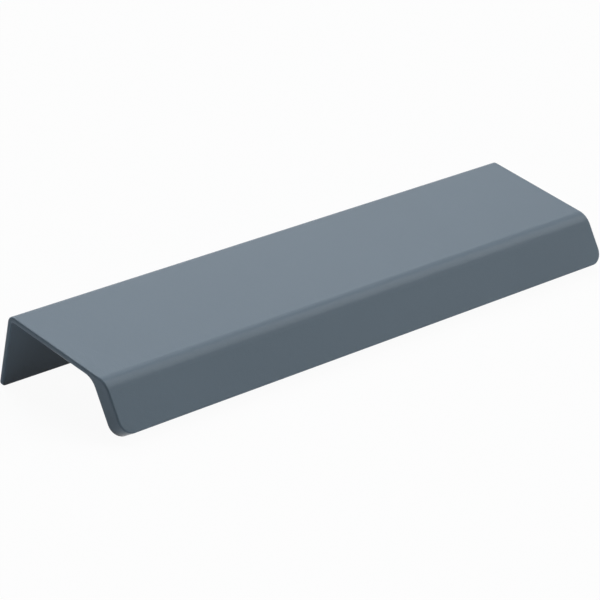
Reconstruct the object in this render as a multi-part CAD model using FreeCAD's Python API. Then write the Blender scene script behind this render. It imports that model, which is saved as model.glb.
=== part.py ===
import FreeCAD, Part
import math
import os

# Edge pull for a handleless cabinet front: one cut length of extruded aluminium.
# A thin leg is screwed to the back of the front, a flat plate lies over its top edge,
# and a thicker lip slopes down before it, for the fingertips to pull on.
# Millimetres. X runs along the pull, the lip faces -Y, and the pull lies loose on
# the floor at Z 0, on the tip of its leg and the tip of its lip.

# Length and walls of the extruded section
length = 160.0
leg_height = 17.9            # top face to the tip of the leg
leg_thickness = 1.3
plate_thickness = 1.3
plate_depth = 32.2           # back face to where the top and lip faces would meet
lip_length = 12.2            # from that line down the lip's front face
lip_slope_deg = 50.0         # the lip's fall below the plate
lip_thickness = 4.1

# Roundings of the extruded section
heel_radius = 1.6            # outside, where the leg turns into the plate
heel_inner_radius = 0.5
bend_radius = 5.0            # outside, where the plate turns into the lip
bend_inner_radius = 4.5

# Roundings made after the length is sawn off
lip_corner_radius = 3.5      # the lip's two lower corners, seen from the front
leg_corner_radius = 1.0      # the leg's two lower corners
edge_radius = 0.45           # every edge that the die and the saw leave sharp
edge_share_of_wall = 0.45    # the most of a wall that the rounding of an edge may take

# Screw holes through the leg, sunk from its back face for flat screw heads
screw_spacing = 128.0
screw_hole_diameter = 4.0
countersink_depth = 0.8
countersink_angle_deg = 90.0


def at(depth, height, along=0.0):
    """The point at a depth before the back face, a height over the top face and a place along X."""
    return FreeCAD.Vector(along, -depth, height)


# Corners of the section, before any is rounded
slope = math.radians(lip_slope_deg)
down_lip = at(math.cos(slope), -math.sin(slope))
into_lip = at(-math.sin(slope), -math.cos(slope))
heel = at(0, 0)
bend = at(plate_depth, 0)
lip_front_tip = bend + down_lip * lip_length
lip_back_tip = lip_front_tip + into_lip * lip_thickness
lip_back_length = (lip_back_tip.z + plate_thickness) / down_lip.z
bend_inner = lip_back_tip - down_lip * lip_back_length
heel_inner = at(leg_thickness, -plate_thickness)
leg_inner_tip = at(leg_thickness, -leg_height)
leg_tip = at(0, -leg_height)

half_length = FreeCAD.Vector(length / 2, 0, 0)
thinnest_wall = min(leg_thickness, plate_thickness, lip_thickness)
broken_edge_radius = min(edge_radius, thinnest_wall * edge_share_of_wall)


def rounded_wire(corners):
    """A closed wire of lines through the corners, each given with the radius of its arc."""
    edges = []
    last_end = None
    for i, (corner, radius) in enumerate(corners):
        to_last = (corners[i - 1][0] - corner).normalize()
        to_next = (corners[(i + 1) % len(corners)][0] - corner).normalize()
        half_angle = to_last.getAngle(to_next) / 2
        start = corner + to_last * (radius / math.tan(half_angle))
        end = corner + to_next * (radius / math.tan(half_angle))
        if last_end:
            edges.append(Part.LineSegment(last_end, start).toShape())
        else:
            first_start = start
        if radius:
            bisector = (to_last + to_next).normalize()
            middle = corner + bisector * (radius / math.sin(half_angle) - radius)
            edges.append(Part.Arc(start, middle, end).toShape())
        last_end = end
    edges.append(Part.LineSegment(last_end, first_start).toShape())
    return Part.Wire(edges)


def extruded_bar():
    """The section, with its two tips still square, drawn out to the full length."""
    section = rounded_wire([
        (heel, heel_radius),
        (bend, bend_radius),
        (lip_front_tip, 0),
        (lip_back_tip, 0),
        (bend_inner, bend_inner_radius),
        (heel_inner, heel_inner_radius),
        (leg_inner_tip, 0),
        (leg_tip, 0),
    ])
    bar = Part.Face(section).extrude(half_length * 2)
    bar.translate(half_length * -1)
    return bar


def end_edges(bar, corner, other_corner):
    """The two edges, one at each end of the bar, that join two corners of the section."""
    found = []
    for end in (half_length * -1, half_length):
        middle = (corner + other_corner) * 0.5 + end
        found.append(min(bar.Edges, key=lambda edge: edge.CenterOfMass.distanceToPoint(middle)))
    return found


def corners_rounded(bar):
    """The lower corners of the lip and of the leg, rounded at both ends of the bar."""
    bar = bar.makeFillet(lip_corner_radius, end_edges(bar, lip_front_tip, lip_back_tip))
    return bar.makeFillet(leg_corner_radius, end_edges(bar, leg_tip, leg_inner_tip))


def is_sharp(bar, edge):
    """Whether the two faces at an edge meet there at an angle, instead of flowing together."""
    middle = edge.valueAt((edge.FirstParameter + edge.LastParameter) / 2)
    faces = bar.ancestorsOfType(edge, Part.Face)
    normals = [face.normalAt(*face.Surface.parameter(middle)) for face in faces]
    return abs(normals[0].dot(normals[1])) < math.cos(math.radians(60))


def edges_broken(bar):
    """Every sharp edge of the bar, rounded by the same small radius."""
    sharp_edges = [edge for edge in bar.Edges if is_sharp(bar, edge)]
    return bar.makeFillet(broken_edge_radius, sharp_edges)


def screw_hole(along):
    """The cutter of one screw hole, at half the leg's height and sunk from its back face."""
    forward = at(1, 0)
    mouth = at(0, -leg_height / 2, along)
    hole_radius = screw_hole_diameter / 2
    sink_radius = hole_radius + countersink_depth * math.tan(math.radians(countersink_angle_deg / 2))
    shank = Part.makeCylinder(hole_radius, leg_thickness * 2, mouth, forward)
    sink = Part.makeCone(sink_radius, hole_radius, countersink_depth, mouth, forward)
    return shank.fuse(sink)


def laid_down(bar):
    """The pull as it lies by itself, on the rounded edges of the leg's tip and of the lip's tip."""
    leg_contact = leg_inner_tip + at(-1, 1) * broken_edge_radius
    lip_contact = lip_back_tip - (down_lip + into_lip) * broken_edge_radius
    across = lip_contact - leg_contact
    rise = math.degrees(math.atan2(across.z, -across.y))
    bar.rotate(heel, FreeCAD.Vector(1, 0, 0), rise)
    box = bar.optimalBoundingBox(False, False)
    bar.translate(FreeCAD.Vector(0, -box.Center.y, -box.ZMin))
    return bar


pull_profile = edges_broken(corners_rounded(extruded_bar()))
for hole_place in (-screw_spacing / 2, screw_spacing / 2):
    pull_profile = pull_profile.cut(screw_hole(hole_place))
pull_profile = laid_down(pull_profile)

os.makedirs("parts", exist_ok=True)
pull_profile.exportStep("parts/pull_profile.step")
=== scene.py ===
import bpy
import math
from mathutils import Matrix

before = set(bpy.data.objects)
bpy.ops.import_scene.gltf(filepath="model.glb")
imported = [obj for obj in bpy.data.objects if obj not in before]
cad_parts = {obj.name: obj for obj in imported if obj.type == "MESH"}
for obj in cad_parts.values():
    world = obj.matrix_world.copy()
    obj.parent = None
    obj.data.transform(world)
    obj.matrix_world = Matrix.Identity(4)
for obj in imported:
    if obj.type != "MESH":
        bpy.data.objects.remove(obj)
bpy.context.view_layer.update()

# The pull is one sawn length of extruded aluminium: leg, plate and lip leave the die together.
# After sawing it is hung up by its screw holes, sprayed with blue-grey powder and baked, so that
# one satin film of about 0.07 mm covers its faces, edges and ends, with a faint orange peel.
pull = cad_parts["pull_profile"]
coat_deep = (0.170, 0.231, 0.290)
coat_pale = (0.184, 0.251, 0.314)
coat_mirroring = 0.16
smoothest = 0.20
roughest = 0.28
gloss_detail = 4.0
clouding_size = 0.030
clouding_detail = 7.0
peel_size = 0.0018
peel_height = 2.5e-5
peel_detail = 1.0
satin_size = 0.0003
satin_height = 2e-5
satin_detail = 2.0

powder_coat = bpy.data.materials.new("blue_grey_powder_coat")
powder_coat.use_nodes = True
coat_nodes = powder_coat.node_tree.nodes
coat_links = powder_coat.node_tree.links
coat_shader = coat_nodes["Principled BSDF"]
coat_shader.inputs["Specular IOR Level"].default_value = coat_mirroring
place_on_pull = coat_nodes.new("ShaderNodeTexCoord")


def coat_noise(size, detail):
    """A noise all through the coat, whose coarsest spots are about one size across."""
    noise = coat_nodes.new("ShaderNodeTexNoise")
    noise.inputs["Scale"].default_value = 1 / size
    noise.inputs["Detail"].default_value = detail
    coat_links.new(place_on_pull.outputs["Object"], noise.inputs["Vector"])
    return noise.outputs["Fac"]


def coat_relief(height, size, detail, under=None):
    """The normal of a relief in the coat, laid over the relief under it."""
    bump = coat_nodes.new("ShaderNodeBump")
    bump.inputs["Distance"].default_value = height
    coat_links.new(coat_noise(size, detail), bump.inputs["Height"])
    if under:
        coat_links.new(under, bump.inputs["Normal"])
    return bump.outputs["Normal"]


# The film is a little thicker here and thinner there, and its pigment a little uneven.
clouding = coat_nodes.new("ShaderNodeMix")
clouding.data_type = "RGBA"
clouding.inputs["A"].default_value = (*coat_deep, 1.0)
clouding.inputs["B"].default_value = (*coat_pale, 1.0)
coat_links.new(coat_noise(clouding_size, clouding_detail), clouding.inputs["Factor"])
coat_links.new(clouding.outputs["Result"], coat_shader.inputs["Base Color"])

# The baked powder flows into low waves, with the fine grain of a satin finish on them.
waves = coat_relief(peel_height, peel_size, peel_detail)
grain = coat_relief(satin_height, satin_size, satin_detail, under=waves)
coat_links.new(grain, coat_shader.inputs["Normal"])

# Patches as wide as the waves are a little more or less glossy.
gloss = coat_nodes.new("ShaderNodeMapRange")
gloss.inputs["To Min"].default_value = smoothest
gloss.inputs["To Max"].default_value = roughest
coat_links.new(coat_noise(peel_size, gloss_detail), gloss.inputs["Value"])
coat_links.new(gloss.outputs["Result"], coat_shader.inputs["Roughness"])

for slot in pull.material_slots:
    slot.material = powder_coat

# The floor is a wide sheet of white paper. The camera and what mirrors it see plain white,
# with a trace of the paper's own shading in it, so that the pull keeps a faint shadow.
floor_half = 6.0
floor_sides = ((-1, -1), (1, -1), (1, 1), (-1, 1))
paper_colour = (0.95, 0.95, 0.95)
share_of_white = 0.95

floor_mesh = bpy.data.meshes.new("floor")
floor_corners = [(x * floor_half, y * floor_half, 0) for x, y in floor_sides]
floor_mesh.from_pydata(floor_corners, [], [(0, 1, 2, 3)])
floor = bpy.data.objects.new("floor", floor_mesh)
bpy.context.scene.collection.objects.link(floor)


def straight_sight(tree):
    """1 on a ray from the camera, off a mirror or through glass, and 0 on light that bounces."""
    path = tree.nodes.new("ShaderNodeLightPath")
    sight = path.outputs["Is Camera Ray"]
    for kind in ("Is Glossy Ray", "Is Transmission Ray"):
        either = tree.nodes.new("ShaderNodeMath")
        either.operation = "MAXIMUM"
        tree.links.new(sight, either.inputs[0])
        tree.links.new(path.outputs[kind], either.inputs[1])
        sight = either.outputs["Value"]
    return sight


paper = bpy.data.materials.new("white_paper")
paper.use_nodes = True
paper_nodes = paper.node_tree.nodes
paper_links = paper.node_tree.links
paper_shader = paper_nodes["Principled BSDF"]
paper_shader.inputs["Base Color"].default_value = (*paper_colour, 1.0)
paper_shader.inputs["Roughness"].default_value = 1.0
paper_shader.inputs["Specular IOR Level"].default_value = 0.0
plain_white = paper_nodes.new("ShaderNodeEmission")
whitening = paper_nodes.new("ShaderNodeMath")
whitening.operation = "MULTIPLY"
whitening.inputs[1].default_value = share_of_white
paper_links.new(straight_sight(paper.node_tree), whitening.inputs[0])
whitened_paper = paper_nodes.new("ShaderNodeMixShader")
paper_links.new(whitening.outputs["Value"], whitened_paper.inputs["Fac"])
paper_links.new(paper_shader.outputs["BSDF"], whitened_paper.inputs[1])
paper_links.new(plain_white.outputs["Emission"], whitened_paper.inputs[2])
paper_links.new(whitened_paper.outputs["Shader"], paper_nodes["Material Output"].inputs["Surface"])
floor_mesh.materials.append(paper)

# The backdrop is a studio's white wall, all round the floor. It looks plain white to the camera
# and in the coat's gloss, and lights nothing by itself, so that the softboxes alone shape the pull.
studio = bpy.data.worlds.new("studio")
studio.use_nodes = True
backdrop = studio.node_tree.nodes["Background"]
backdrop.inputs["Color"].default_value = (1.0, 1.0, 1.0, 1.0)
studio.node_tree.links.new(straight_sight(studio.node_tree), backdrop.inputs["Strength"])
bpy.context.scene.world = studio

# Four big softboxes stand far off, on the pull's right and behind it, so that the plate is bright
# and the lip and the left end are darker. The low one only fills the shade and isn't mirrored.
# Angles are in degrees, and the azimuth goes from the right end towards the back.
warm = (1.07, 1.0, 0.93)
plain = (1.0, 1.0, 1.0)
cool = (0.95, 1.0, 1.05)
energy_for_white = math.pi  # a white card that faces such a lamp is just white
softboxes = (
    # name, azimuth, elevation, width, light as a share of energy_for_white, tint, mirrored
    ("low_right", -30, 15, 40, 0.358, warm, False),
    ("high_right", -18, 50, 34, 0.192, plain, True),
    ("right_back", 52, 46, 44, 0.187, cool, True),
    ("back", 75, 52, 30, 0.335, cool, True),
)
for name, azimuth, elevation, width, light, tint, mirrored in softboxes:
    softbox_data = bpy.data.lights.new(name, "SUN")
    softbox_data.angle = math.radians(width)
    softbox_data.energy = light * energy_for_white
    softbox_data.color = tint
    softbox = bpy.data.objects.new(name, softbox_data)
    softbox.rotation_euler = (0, math.radians(90 - elevation), math.radians(azimuth))
    softbox.visible_glossy = mirrored
    bpy.context.scene.collection.objects.link(softbox)

# The camera stands before the pull's left end with a long lens, as the photographer did.
# Its place, turn and roll are those at which the pull's outline falls where the photograph has it.
# Lens and sensor are in millimetres, angles in degrees.
camera_turn = -46.343
camera_elevation = 22.282
camera_roll = 2.699
camera_distance = 0.69971
camera_aim = (-0.003678, 0.002680, 0.006020)
camera_lens = 180.033
sensor_width = 36.0

camera_data = bpy.data.cameras.new("camera")
camera_data.sensor_width = sensor_width
camera_data.lens = camera_lens
camera = bpy.data.objects.new("camera", camera_data)
camera.matrix_world = (
    Matrix.Translation(camera_aim)
    @ Matrix.Rotation(math.radians(camera_turn), 4, "Z")
    @ Matrix.Rotation(math.radians(90 - camera_elevation), 4, "X")
    @ Matrix.Rotation(math.radians(camera_roll), 4, "Z")
    @ Matrix.Translation((0, 0, camera_distance))
)
bpy.context.scene.collection.objects.link(camera)
bpy.context.scene.camera = camera
bpy.context.scene.view_settings.view_transform = "Standard"
